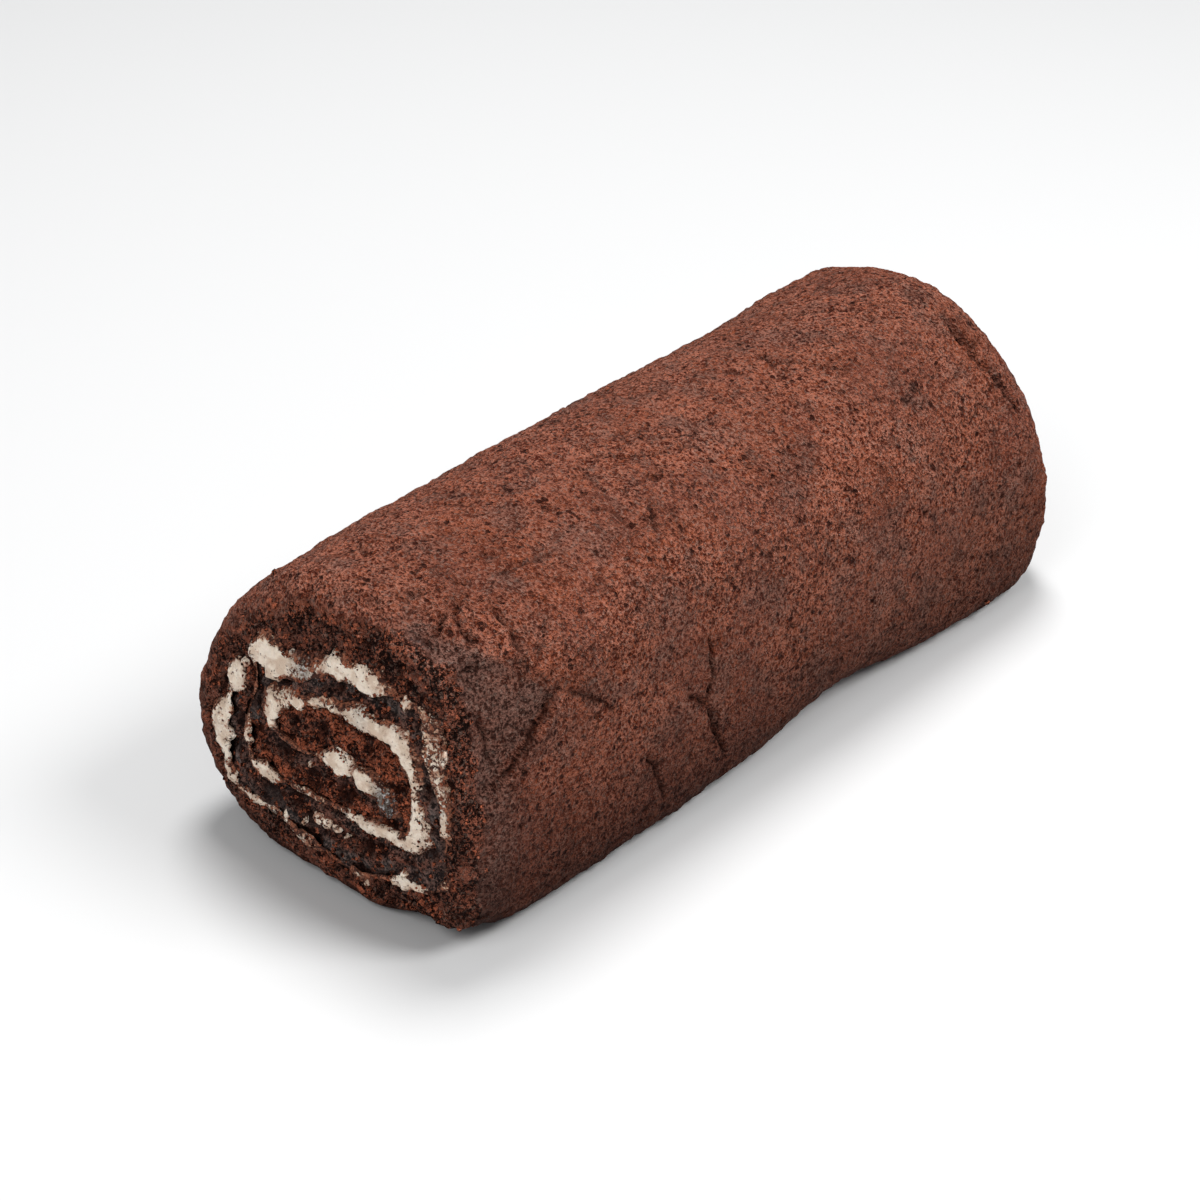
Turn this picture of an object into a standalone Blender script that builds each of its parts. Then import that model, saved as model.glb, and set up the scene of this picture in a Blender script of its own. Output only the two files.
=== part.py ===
"""A chocolate swiss roll cake: a baked sponge sheet rolled up round vanilla cream, resting on its flat underside.

Metres, +Z up. The roll lies along Y, its cut swirl end faces -Y, and the origin is the middle of its base.
Two solids: sponge_sheet, the rolled sheet as one body, and cream_filling, the spiral of cream between its turns.
Every cross-section is the front one carried outwards or inwards from the roll's middle, so that the turns keep
their order while the loaf changes shape: square-shouldered at the front, rounder at the back, drawn in at both
ends, with a dent pressed in beside the front end and a stretch of the lower edge lifted.
"""

import math

import bmesh
import bpy
from mathutils import Vector, geometry

MM = 0.001

# Driving dimensions. Where there are two, the first is at the front end and the second at the back.
LENGTH = 228.0 * MM
HALF_WIDTH = (44.2 * MM, 44.5 * MM)
HEIGHT = (76.0 * MM, 78.0 * MM)
MIDDLE_RISE = 1.2 * MM  # how much taller the middle is than the ends' average
GAP = 0.3 * MM  # between the sponge and the cream

# How square each quarter of the cross-section is: 2 is an ellipse, more is squarer.
UPPER_LEFT, UPPER_RIGHT = (1.75, 2.1), (3.6, 1.65)
LOWER_RIGHT, LOWER_LEFT = (7.5, 8.0), (3.1, 3.2)
BASE_FLAT = 0.8 * MM  # how much the cake's weight flattens its underside

# How the ends are rounded: how far the rim is drawn in, and over what length of the roll.
FRONT_DRAW, FRONT_REACH = 6.8 * MM, 12 * MM
LEFT_CORNERS, RIGHT_SIDE = 1.8 * MM, 1.8 * MM  # how much more the front's left corners and less its right side
BACK_DRAW, BACK_REACH = 17.5 * MM, 21.5 * MM
END_BULGE = 1.4 * MM  # how far the middle of an end stands out past its rim
FRONT_LEAN, BACK_LEAN, BACK_SKEW = 0.04, -0.11, -0.12  # slopes of the ends, up and across
LEAN_REACH = 60 * MM

LIFT_AT, LIFT_SPREAD, LIFT = 21 * MM, 26 * MM, 4.8 * MM  # the lifted stretch of the lower right edge
DENT_POINT = Vector((42.7, -88.3, 58.5)) * MM  # the innermost corner of the dent
DENT_NORMAL = Vector((0.913, -0.291, 0.286)).normalized()
DENT_KEPT = 0.12  # the share of its bulge that the dented stretch keeps

# The cream on the front end from the core outwards, clockwise as seen, in millimetres from the middle of the base.
# Each row is a place where the line bends or the cream's thickness changes: x, z, bend radius, thickness.
CREAM_LINE = (
    (22, 31, 0, 1.5),
    (16, 36, 6, 4.5),
    (10, 36, 4, 3),
    (5, 37, 4, 5),
    (-6, 34, 6, 1),
    (-15.5, 34, 4, 1),
    (-15, 43, 4, 4),
    (-1.5, 49, 20, 2),
    (10, 50.5, 0, 4.5),
    (24.5, 50.5, 6, 5.5),
    (27.5, 41, 0, 2),
    (29, 25.5, 3.5, 4),
    (12, 25, 0, 3),
    (2, 24.5, 0, 1),
    (-17, 23.5, 0, 4),
    (-23, 24, 4, 1.5),
    (-23, 36, 6, 1),
    (-20.5, 45, 8, 1),
    (-21.5, 53, 4, 3.5),
    (-15, 53.5, 0, 7.5),
    (-5, 54.5, 9, 3.5),
    (4, 60, 7, 5.5),
    (15, 60.5, 0, 5.5),
    (21, 59.5, 0, 1),
    (31.5, 59.5, 6, 3),
    (32.5, 50, 8, 3.5),
    (36, 38, 15, 2.5),
    (36.5, 16, 9, 1),
    (25, 14.5, 12, 3),
    (10.5, 9.5, 14, 2),
    (-6, 11, 10, 2),
    (-16, 14.5, 8, 1.5),
    (-29, 14, 7, 2),
    (-32, 29, 10, 5),
    (-29.5, 38, 6, 1.5),
    (-27, 43, 8, 4.5),
    (-26, 48, 8, 1),
)

BEND_STEP = 34.0  # degrees between points round a bend of the cream
OUTLINE_POINTS = 48
# Distances of the cross-sections from each end, and how many more divide the middle.
SKIN_STATIONS, SKIN_MIDDLE = (0.0, 1.2, 4.0, 8.5, 15.0, 22.0, 30.0), 6
CREAM_STATIONS, CREAM_MIDDLE = (0.0, 5.0, 13.0, 24.0), 1

SPONGE_COLOUR = (0.16, 0.062, 0.04, 1.0)
CREAM_COLOUR = (0.64, 0.53, 0.44, 1.0)


def between(pair, share):
    return pair[0] + (pair[1] - pair[0]) * share


def height_at(share):
    return between(HEIGHT, share) + 4 * MIDDLE_RISE * share * (1 - share)


def squareness(angle, share):
    if math.sin(angle) >= 0:
        return between(UPPER_RIGHT if math.cos(angle) >= 0 else UPPER_LEFT, share)
    return between(LOWER_RIGHT if math.cos(angle) >= 0 else LOWER_LEFT, share)


def drawn_in(distance, amount, run):
    """How far the rim is drawn in at a distance from the end: a quarter ellipse."""
    left = max(0.0, 1 - distance / run)
    return amount * (1 - math.sqrt(max(0.0, 1 - left * left)))


def front_draw(angle):
    """How far the front rim is drawn in on each side: most at its left corners and least on the right."""
    if math.cos(angle) < 0:
        return FRONT_DRAW + LEFT_CORNERS * math.sin(2 * angle) ** 2
    return FRONT_DRAW - RIGHT_SIDE * math.cos(angle) ** 2


def reach(angle, y):
    """How far the skin is from the roll's middle line in one direction, at one place along the roll."""
    share = min(1.0, max(0.0, y / LENGTH + 0.5))
    power = squareness(angle, share)
    across = abs(math.cos(angle)) / between(HALF_WIDTH, share)
    upward = abs(math.sin(angle)) / (height_at(share) / 2)
    full = (across**power + upward**power) ** (-1 / power)
    front = drawn_in(y + LENGTH / 2, front_draw(angle), FRONT_REACH)
    back = drawn_in(LENGTH / 2 - y, BACK_DRAW, BACK_REACH)
    return full - front - back


def outline():
    """The directions of the skin's points, closer together round the square corners than on the flats."""
    directions = []
    for i in range(OUTLINE_POINTS):
        turn = math.tau * (i + 0.5) / OUTLINE_POINTS
        power = 0.5 + 1 / squareness(turn, 0.35)
        across = math.copysign(abs(math.cos(turn)) ** power * HALF_WIDTH[0], math.cos(turn))
        upward = math.copysign(abs(math.sin(turn)) ** power * HEIGHT[0] / 2, math.sin(turn))
        directions.append((math.atan2(upward, across), 1.0))
    return directions


def from_front(point):
    """A point of the front end as its direction from the middle and its share of the way out to the rim."""
    offset = point - Vector((0.0, HEIGHT[0] / 2))
    angle = math.atan2(offset.y, offset.x)
    return angle, offset.length / reach(angle, -LENGTH / 2)


def rounded_line(rows):
    """The line through the rows with its corners rounded, as (point, thickness) pairs in metres."""
    corners = [(Vector(row[:2]) * MM, row[2] * MM, row[3] * MM) for row in rows]
    line = [(corners[0][0], corners[0][2])]
    for (before, _, _), (corner, bend, thick), (after, _, _) in zip(corners, corners[1:], corners[2:]):
        to_before, to_after = before - corner, after - corner
        turn = math.pi - to_before.angle(to_after)
        trim = min(bend * math.tan(turn / 2), 0.48 * to_before.length, 0.48 * to_after.length)
        if trim < 0.2 * MM:
            line.append((corner, thick))
            continue
        steps = max(1, math.ceil(math.degrees(turn) / BEND_STEP))
        start, end = corner + to_before.normalized() * trim, corner + to_after.normalized() * trim
        for i in range(steps + 1):
            t = i / steps
            line.append((start * (1 - t) ** 2 + corner * 2 * t * (1 - t) + end * t**2, thick))
    return line + [(corners[-1][0], corners[-1][2])]


def cream_outline(extra):
    """The cream's outline on the front end, grown by extra: out along its outer side and back along its inner one."""
    line = rounded_line(CREAM_LINE)
    outer, inner = [], []
    for i, (point, thick) in enumerate(line):
        ahead, behind = line[min(i + 1, len(line) - 1)][0], line[max(i - 1, 0)][0]
        along = (ahead - behind).normalized()
        if i == 0:
            point = point - along * extra
        if i == len(line) - 1:
            point = point + along * extra
        # The line runs clockwise, so its left hand points away from the core.
        outward = Vector((-along.y, along.x))
        outer.append(point + outward * (thick / 2 + extra))
        inner.append(point - outward * (thick / 2 + extra))
    return [from_front(point) for point in outer + inner[::-1]]


def stations(from_ends, middle):
    """Where the cross-sections stand along Y: closest together near the ends, where the shape changes most."""
    near = [-LENGTH / 2 + d * MM for d in from_ends]
    inside = LENGTH / 2 - from_ends[-1] * MM
    spread = [-inside + 2 * inside * (i + 1) / (middle + 1) for i in range(middle)]
    return near + spread + [-y for y in reversed(near)]


def placed(angle, out, y):
    """A point of the finished cake from its direction, its share of the way out to the skin and its place along Y."""
    share = y / LENGTH + 0.5
    half_height = height_at(share) / 2
    radius = reach(angle, y) * out
    x, z = radius * math.cos(angle), half_height + radius * math.sin(angle)
    lifted = LIFT * math.exp(-(((y - LIFT_AT) / LIFT_SPREAD) ** 2))
    edge = min(1.0, max(0.0, (x / HALF_WIDTH[0] - 0.45) / 0.5)) * max(0.0, 1 - z / (HEIGHT[0] * 0.35))
    x, z = x - lifted * edge * 0.6, max(0.0, z - BASE_FLAT) + lifted * edge
    front = max(0.0, 1 - (y + LENGTH / 2) / LEAN_REACH)
    back = max(0.0, 1 - (LENGTH / 2 - y) / LEAN_REACH)
    lean = front * FRONT_LEAN * (z - half_height) + back * (BACK_LEAN * (z - half_height) + BACK_SKEW * x)
    bulge = END_BULGE * (1 - min(1.0, out) ** 2) * (back**4 - front**4)
    point = Vector((x, y + lean + bulge, z))
    proud = (point - DENT_POINT).dot(DENT_NORMAL)
    return point - DENT_NORMAL * proud * (1 - DENT_KEPT) if proud > 0 else point


def wall(mesh, profile, places):
    """Draws a closed profile out along the roll and returns the rings of points."""
    rings = [[mesh.verts.new(placed(angle, out, y)) for angle, out in profile] for y in places]
    for near, far in zip(rings, rings[1:]):
        for i in range(len(profile)):
            j = (i + 1) % len(profile)
            mesh.faces.new((near[i], near[j], far[j], far[i]))
    return rings


def cap(mesh, loops):
    """Closes one end: fills the first loop of points, leaving the others as openings."""
    flat = [[Vector((v.co.x, v.co.z, 0.0)) for v in loop] for loop in loops]
    corners = [vertex for loop in loops for vertex in loop]
    for triangle in geometry.tessellate_polygon(flat):
        mesh.faces.new([corners[i] for i in triangle])


def solid_from(name, mesh, colour, roughness):
    bmesh.ops.triangulate(mesh, faces=mesh.faces[:])
    bmesh.ops.recalc_face_normals(mesh, faces=mesh.faces[:])
    data = bpy.data.meshes.new(name)
    mesh.to_mesh(data)
    mesh.free()
    data.shade_smooth()
    data.set_sharp_from_angle(angle=math.radians(38))
    material = bpy.data.materials.new(name)
    material.use_nodes = True
    shader = material.node_tree.nodes["Principled BSDF"]
    shader.inputs["Base Color"].default_value = colour
    shader.inputs["Roughness"].default_value = roughness
    shader.inputs["Metallic"].default_value = 0.0
    data.materials.append(material)
    solid = bpy.data.objects.new(name, data)
    bpy.context.collection.objects.link(solid)
    return solid


def sponge_sheet():
    """The rolled sheet: the whole loaf less the spiral slot that holds the cream."""
    mesh = bmesh.new()
    skin = wall(mesh, outline(), stations(SKIN_STATIONS, SKIN_MIDDLE))
    slot = wall(mesh, cream_outline(GAP), stations(CREAM_STATIONS, CREAM_MIDDLE))
    for end in (0, -1):
        cap(mesh, [skin[end], slot[end]])
    return solid_from("sponge_sheet", mesh, SPONGE_COLOUR, 0.85)


def cream_filling():
    """The spiral of cream, running the whole length of the roll."""
    mesh = bmesh.new()
    rings = wall(mesh, cream_outline(0.0), stations(CREAM_STATIONS, CREAM_MIDDLE))
    for end in (0, -1):
        cap(mesh, [rings[end]])
    return solid_from("cream_filling", mesh, CREAM_COLOUR, 0.5)


def centre_on_base(solids):
    """Moves the meshes together so that the origin is the middle of the whole cake's base."""
    points = [vertex.co for solid in solids for vertex in solid.data.vertices]
    low = Vector([min(p[i] for p in points) for i in range(3)])
    high = Vector([max(p[i] for p in points) for i in range(3)])
    shift = Vector((-(low.x + high.x) / 2, -(low.y + high.y) / 2, -low.z))
    for solid in solids:
        for vertex in solid.data.vertices:
            vertex.co += shift
        solid.data.update()


for existing in list(bpy.data.objects):
    bpy.data.objects.remove(existing)

centre_on_base([sponge_sheet(), cream_filling()])
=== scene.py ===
"""The looks of a chocolate swiss roll cake, laid over its CAD frame.

Metres, +Z up. The roll lies along Y and its cut swirl end faces -Y. It is followed as it is made: the
sponge sheet is baked and rolled, the cream fills its turns, and the knife and the hand leave their marks.
"""

import math

import bpy
import numpy as np
from mathutils import Matrix, Vector, geometry, kdtree, noise


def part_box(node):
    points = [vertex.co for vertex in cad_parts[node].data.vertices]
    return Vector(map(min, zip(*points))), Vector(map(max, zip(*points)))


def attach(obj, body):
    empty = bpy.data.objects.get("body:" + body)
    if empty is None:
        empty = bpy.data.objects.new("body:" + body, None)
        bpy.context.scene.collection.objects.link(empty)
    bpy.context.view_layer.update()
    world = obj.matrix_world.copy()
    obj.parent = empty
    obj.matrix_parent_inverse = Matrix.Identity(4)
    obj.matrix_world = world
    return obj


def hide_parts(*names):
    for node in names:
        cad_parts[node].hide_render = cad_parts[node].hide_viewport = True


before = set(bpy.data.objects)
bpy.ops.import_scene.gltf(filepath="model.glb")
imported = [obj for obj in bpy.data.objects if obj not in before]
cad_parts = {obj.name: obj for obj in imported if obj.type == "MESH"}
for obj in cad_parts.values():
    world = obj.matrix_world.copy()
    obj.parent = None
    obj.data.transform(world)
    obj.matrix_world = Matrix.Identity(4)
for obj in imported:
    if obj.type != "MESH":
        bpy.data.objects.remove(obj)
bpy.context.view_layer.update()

# ----------------------------------------------------------------------
# The sponge: one baked chocolate sheet, rolled up about two and a half turns and pressed square.
# Outside it shows its baked skin, matte and finely pitted, and at both cuts open, moist, ragged crumb.
# The rolling leaves a dent by the front end, short cracks in the bent skin, and a lifted lower edge.
# ----------------------------------------------------------------------

MM = 0.001

# The loaf's form. Where there are two values, the first is at the front end and the second at the back.
LENGTH = 228.0 * MM
HALF_WIDTH = (44.2 * MM, 44.5 * MM)
HEIGHT = (76.0 * MM, 78.0 * MM)
MIDDLE_RISE = 1.2 * MM
UPPER_LEFT, UPPER_RIGHT = (1.75, 2.1), (3.6, 1.65)
LOWER_RIGHT, LOWER_LEFT = (7.5, 8.0), (3.1, 3.2)
BASE_FLAT = 0.8 * MM
FRONT_DRAW, FRONT_REACH = 6.8 * MM, 12 * MM
LEFT_CORNERS, RIGHT_SIDE = 1.8 * MM, 1.8 * MM
BACK_DRAW, BACK_REACH = 17.5 * MM, 21.5 * MM
END_BULGE = 1.4 * MM
FRONT_LEAN, BACK_LEAN, BACK_SKEW = 0.04, -0.11, -0.12
LEAN_REACH = 60 * MM
LIFT_AT, LIFT_SPREAD, LIFT = 21 * MM, 26 * MM, 4.8 * MM
DENT_POINT = np.array([42.7, -88.3, 58.5]) * MM
DENT_NORMAL = np.array([0.913, -0.291, 0.286]) / np.linalg.norm([0.913, -0.291, 0.286])
DENT_KEPT = 0.12

SKIN_STEP = 0.78 * MM  # the size of the skin's mesh round the loaf
ROW_STEP = 0.94 * MM  # and along it
FAR_STEP = 1.15 * MM  # and on the far side
BASE_STEP = 2.8 * MM  # and of the underside's
CRUMB_STEP = 0.6 * MM  # and of the cut ends'
SLOT_STEP = 0.65 * MM  # and along the edges of the cream


def blend(pair, share):
    return pair[0] + (pair[1] - pair[0]) * share


def ease(low, high, value):
    """0 below low, 1 above high and a smooth rise between them."""
    t = np.clip((value - low) / (high - low), 0, 1)
    return t * t * (3 - 2 * t)


def lengths(vectors):
    return np.linalg.norm(vectors, axis=-1)


def height_at(share):
    return blend(HEIGHT, share) + 4 * MIDDLE_RISE * share * (1 - share)


def drawn_in(distance, amount, run):
    """How far the rim is drawn in at a distance from the end: a quarter ellipse."""
    left = np.clip(1 - distance / run, 0, 1)
    return amount * (1 - np.sqrt(1 - left * left))


def front_draw(angle):
    """How far the front rim is drawn in on each side: most at its left corners and least on the right."""
    left = LEFT_CORNERS * np.sin(2 * angle) ** 2
    return FRONT_DRAW + np.where(np.cos(angle) < 0, left, -RIGHT_SIDE * np.cos(angle) ** 2)


def reach(angle, y):
    """How far the skin is from the roll's middle line in one direction, at one place along the roll."""
    share = np.clip(y / LENGTH + 0.5, 0, 1)
    upper = np.where(np.cos(angle) >= 0, blend(UPPER_RIGHT, share), blend(UPPER_LEFT, share))
    lower = np.where(np.cos(angle) >= 0, blend(LOWER_RIGHT, share), blend(LOWER_LEFT, share))
    power = np.where(np.sin(angle) >= 0, upper, lower)
    across = np.abs(np.cos(angle)) / blend(HALF_WIDTH, share)
    upward = np.abs(np.sin(angle)) / (height_at(share) / 2)
    full = (across**power + upward**power) ** (-1 / power)
    front = drawn_in(y + LENGTH / 2, front_draw(angle), FRONT_REACH)
    return full - front - drawn_in(LENGTH / 2 - y, BACK_DRAW, BACK_REACH)


def placed(angle, out, y):
    """Points of the cake from their direction, share of the way out to the skin and place along Y."""
    share = y / LENGTH + 0.5
    middle = height_at(share) / 2
    radius = reach(angle, y) * out
    x, z = radius * np.cos(angle), middle + radius * np.sin(angle)
    lifted = LIFT * np.exp(-(((y - LIFT_AT) / LIFT_SPREAD) ** 2))
    edge = np.clip((x / HALF_WIDTH[0] - 0.45) / 0.5, 0, 1) * np.clip(1 - z / (HEIGHT[0] * 0.35), 0, 1)
    x, z = x - lifted * edge * 0.6, np.maximum(0, z - BASE_FLAT) + lifted * edge
    front = np.clip(1 - (y + LENGTH / 2) / LEAN_REACH, 0, 1)
    back = np.clip(1 - (LENGTH / 2 - y) / LEAN_REACH, 0, 1)
    lean = front * FRONT_LEAN * (z - middle) + back * (BACK_LEAN * (z - middle) + BACK_SKEW * x)
    bulge = END_BULGE * (1 - np.minimum(1, out) ** 2) * (back**4 - front**4)
    point = np.stack([x, y + lean + bulge, z], axis=-1)
    proud = np.maximum(0, (point - DENT_POINT) @ DENT_NORMAL)
    return point - proud[..., None] * (1 - DENT_KEPT) * DENT_NORMAL


def spaced(places, weights):
    """The same run of places, spread again so that each step has the same weight."""
    total = np.concatenate([[0], np.cumsum((weights[1:] + weights[:-1]) / 2)])
    return np.interp(np.linspace(0, total[-1], round(total[-1]) + 1), total, places)


# Columns of the skin's mesh run round the loaf, closer together above than underneath, and rows run along it.
ROUND_SAMPLES, LONG_SAMPLES = 4001, 8001  # for measuring the form round the loaf and along it
SECTION_AT, MERIDIAN_AT = -0.1 * LENGTH, 0.3  # where it is measured: a place along Y, and a direction
FAR_SIDE = -0.55  # a direction is on the far side if its cosine is below this
fine_angles = np.linspace(-math.pi, math.pi, ROUND_SAMPLES)
section = placed(fine_angles, 1.0, np.full(ROUND_SAMPLES, SECTION_AT))
arc = lengths(np.gradient(section, axis=0))
step = np.where(np.cos(fine_angles) < FAR_SIDE, FAR_STEP, SKIN_STEP)
columns = spaced(fine_angles, arc / np.where(section[:, 2] < 0.1 * MM, BASE_STEP, step))[:-1]
fine_rows = np.linspace(-LENGTH / 2, LENGTH / 2, LONG_SAMPLES)
meridian = placed(np.full(LONG_SAMPLES, MERIDIAN_AT), 1.0, fine_rows)
rows = spaced(fine_rows, lengths(np.gradient(meridian, axis=0)) / ROW_STEP)

# The line that the cream follows on the front end, from the core outwards, in millimetres from the middle of
# the base. Each row is a place where it bends: x, z, bend radius.
CREAM_LINE = (
    (22, 31, 0), (16, 36, 6), (10, 36, 4), (5, 37, 4), (-6, 34, 6), (-15.5, 34, 4), (-15, 43, 4),
    (-1.5, 49, 20), (10, 50.5, 0), (24.5, 50.5, 6), (27.5, 41, 0), (29, 25.5, 3.5), (12, 25, 0),
    (2, 24.5, 0), (-17, 23.5, 0), (-23, 24, 4), (-23, 36, 6), (-20.5, 45, 8), (-21.5, 53, 4),
    (-15, 53.5, 0), (-5, 54.5, 9), (4, 60, 7), (15, 60.5, 0), (21, 59.5, 0), (31.5, 59.5, 6),
    (32.5, 50, 8), (36, 38, 15), (36.5, 16, 9), (25, 14.5, 12), (10.5, 9.5, 14), (-6, 11, 10),
    (-16, 14.5, 8), (-29, 14, 7), (-32, 29, 10), (-29.5, 38, 6), (-27, 43, 8), (-26, 48, 8),
)

# How the cream lies along that line at the cut, from the core outwards: a place near the line, the cream's
# thickness there, how far crumb covers it, and how far it is smeared so thin that dark sponge shows through.
CREAM_SPREAD = (
    (22, 31.5, 3.5, 0, 1), (18, 34, 4, 0, 0.8), (15.5, 36, 5.5, 0, 0), (12, 36.5, 5, 0, 0),
    (10, 36, 1.6, 0.4, 0), (8, 36, 4.5, 0, 0), (5.5, 37, 6, 0, 0), (2.5, 35.5, 3, 0.1, 0),
    (-0.5, 34.5, 1, 0.8, 0), (-3, 34, 0.8, 1, 0), (-15, 34, 0.8, 1, 0), (-15.5, 36.5, 1.6, 0.1, 0),
    (-15.5, 38, 2.2, 0, 0), (-15.5, 40, 4, 0, 0), (-14.5, 42.5, 5, 0, 0), (-12, 44, 3.2, 0.1, 0),
    (-9.5, 45.5, 1.8, 0.2, 0), (-7, 46.5, 4, 0, 0), (-4.5, 47.5, 1.6, 0, 0), (-2, 49, 1.8, 0, 0),
    (1, 49, 1.5, 0.3, 0), (4, 49, 2.2, 0.3, 0), (7, 50, 2.5, 0.2, 0.1), (10, 50.5, 4.5, 0, 0.2),
    (12.5, 50.5, 5.5, 0, 0.3), (16, 50.5, 3.8, 0, 0), (20, 51, 4.6, 0, 0), (23, 50, 5.6, 0, 0),
    (24.5, 46, 3.6, 0, 0), (26, 43.5, 2.6, 0.1, 0), (27.5, 40, 1.8, 0.1, 0), (28, 36, 2, 0, 0),
    (28.5, 32, 2.6, 0, 0), (29, 28.5, 4, 0, 0), (28, 26, 4.4, 0, 0), (25, 25, 3, 0, 0),
    (20, 25, 2.8, 0, 0), (15, 25, 3.8, 0, 0.1), (11, 25, 2.8, 0, 0), (7.5, 25, 1.6, 0.45, 0),
    (3, 24.5, 0.9, 1, 0), (-2, 24, 1.6, 0.5, 0), (-5, 24, 1.4, 0.5, 0), (-8, 24, 1.4, 0.5, 0),
    (-11, 24, 0.8, 1, 0), (-14, 24, 3, 0.1, 0), (-17.5, 23.5, 4.4, 0, 0), (-21, 23.5, 2.4, 0.2, 0),
    (-23, 26, 0.8, 0.9, 0), (-23, 28, 1.2, 0.5, 0), (-23, 30.5, 2.4, 0.1, 0), (-23, 33, 1.4, 0.3, 0),
    (-23, 35, 1, 0.7, 0), (-22, 40, 0.6, 1, 0), (-21, 47, 0.7, 1, 0), (-21, 50.5, 2.5, 0.2, 0),
    (-20, 53, 6, 0, 0), (-17, 53.5, 9, 0, 0), (-14, 53.5, 8, 0, 0), (-11, 54, 5.5, 0, 0),
    (-8, 54, 4.5, 0, 0.3), (-5, 54.5, 4, 0, 0.75), (-2.5, 55.5, 3, 0.1, 0.4), (0, 57, 2.4, 0.4, 0),
    (2, 58.5, 3.5, 0.1, 0), (5, 60, 6, 0, 0), (8, 60, 3.4, 0.15, 0), (12, 60, 5, 0, 0),
    (15.5, 60.5, 5.5, 0, 0), (18, 60, 2, 0.5, 0), (20, 59.5, 0.8, 1, 0), (22.5, 59.5, 1.4, 0.4, 0),
    (24, 59.5, 2.4, 0, 0), (26, 59.5, 1, 0.9, 0), (28.5, 58.5, 3, 0.45, 0), (31, 56.5, 5, 0.5, 0),
    (32, 53, 5, 0.45, 0), (33, 49.5, 5, 0.35, 0), (34, 46, 4, 0.5, 0), (35, 43, 3.4, 0.5, 0),
    (35.5, 40, 2.2, 0.5, 0), (36.5, 37, 2.6, 0.1, 0.1), (36.5, 33, 2.4, 0.1, 0), (36.5, 30, 0.8, 1, 0),
    (36.5, 22, 0.6, 1, 0), (36.5, 19, 1.4, 0.4, 0), (34, 15.5, 0.6, 1, 0), (30, 15.5, 1.8, 0.1, 0),
    (27, 15.5, 2.2, 0.1, 0), (24.5, 14.5, 4.5, 0.1, 0), (22.5, 13.5, 3, 0.2, 0), (20, 12.5, 0.8, 1, 0),
    (14, 10.5, 0.8, 0.9, 0), (11, 9.5, 2.2, 0.2, 0), (8, 9.5, 0.9, 0.8, 0), (0, 10.5, 0.6, 1, 0),
    (-4, 11, 2.6, 0.5, 0), (-7, 11.5, 3, 0.4, 0), (-10, 13, 1, 0.6, 0), (-13, 14, 1, 0.5, 0),
    (-18, 14, 1.6, 0.2, 0), (-23, 14, 2.2, 0.1, 0), (-27, 15, 1.6, 0.2, 0), (-29, 17, 3, 0, 0),
    (-30, 20, 2, 0.2, 0), (-31.5, 23, 3, 0.1, 0), (-32, 26.5, 6, 0, 0), (-31.5, 31, 6.5, 0, 0),
    (-30.5, 34, 4.5, 0, 0), (-29.5, 36.5, 2, 0.2, 0), (-28, 40, 1.6, 0.4, 0), (-27.5, 42.5, 5.5, 0, 0),
    (-27, 45.5, 6, 0, 0), (-26, 48, 3, 0.1, 0),
)


LEAST_TRIM, MOST_TRIM = 0.4, 0.48  # of a corner: in millimetres, and as a share of its sides
LOOK_AHEAD = 40  # steps along the line in which the next place of CREAM_SPREAD is looked for
CREAM_THICKER = 1.15  # how much thicker the cream lies than CREAM_SPREAD says


def cream_middle():
    """The cream's middle line with its bends rounded, at steps of SLOT_STEP."""
    corners = [(Vector(row[:2]), row[2]) for row in CREAM_LINE]
    line = [corners[0][0]]
    for (before, _), (corner, bend), (after, _) in zip(corners, corners[1:], corners[2:]):
        back, ahead = before - corner, after - corner
        turn = math.pi - back.angle(ahead)
        most = MOST_TRIM * min(back.length, ahead.length)
        trim = min(bend * math.tan(turn / 2) + LEAST_TRIM, most)
        start, end = corner + back.normalized() * trim, corner + ahead.normalized() * trim
        for t in (0.0, 0.25, 0.5, 0.75, 1.0):
            line.append(start * (1 - t) ** 2 + corner * 2 * t * (1 - t) + end * t**2)
    line = np.array([*line, corners[-1][0]]) * MM
    run = np.concatenate([[0], np.cumsum(lengths(np.diff(line, axis=0)))])
    at = np.linspace(0, run[-1], round(run[-1] / SLOT_STEP) + 1)
    smooth = np.stack([np.interp(at, run, line[:, 0]), np.interp(at, run, line[:, 1])], axis=1)
    window = np.hanning(9)[1:-1] / np.hanning(9).sum()
    for values in (smooth[:, 0], smooth[:, 1]):
        values[3:-3] = np.convolve(values, window, mode="valid")
    return smooth


def spread_along(line):
    """The cream's half thickness, its cover of crumb and how thinly it is smeared, all along its line."""
    places, last = [], 0
    for x, z, *_ in CREAM_SPREAD:
        ahead = line[last:last + LOOK_AHEAD]
        last += int(lengths(ahead - np.array([x, z]) * MM).argmin())
        places.append(last)
    kinds = np.array([row[2:] for row in CREAM_SPREAD])
    return [np.interp(np.arange(len(line)), places, kinds[:, i]) for i in range(3)]


def ripple(points, size, seed):
    """Smooth noise from -1 to 1 at each point, in lumps of about that size in millimetres."""
    shift = Vector((seed * 7.31, seed * 3.17, seed * 5.73))
    return np.array([noise.noise(Vector(p) / (size * MM) + shift) for p in points])


def bubbles(points, size, seed):
    """Cells of about that size: distance from the nearest middle, gap to the next, and the cell's luck."""
    shift = Vector((seed * 2.71, seed * 6.13, seed * 4.37))
    found = np.empty((len(points), 3))
    for i, p in enumerate(points):
        near, middles = noise.voronoi(Vector(p) / (size * MM) + shift)
        luck = math.sin(middles[0].x * 12.99 + middles[0].y * 78.23 + middles[0].z * 37.72) * 43758.5
        found[i] = near[0], near[1] - near[0], luck % 1
    return found[:, 0], found[:, 1], found[:, 2]


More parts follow.
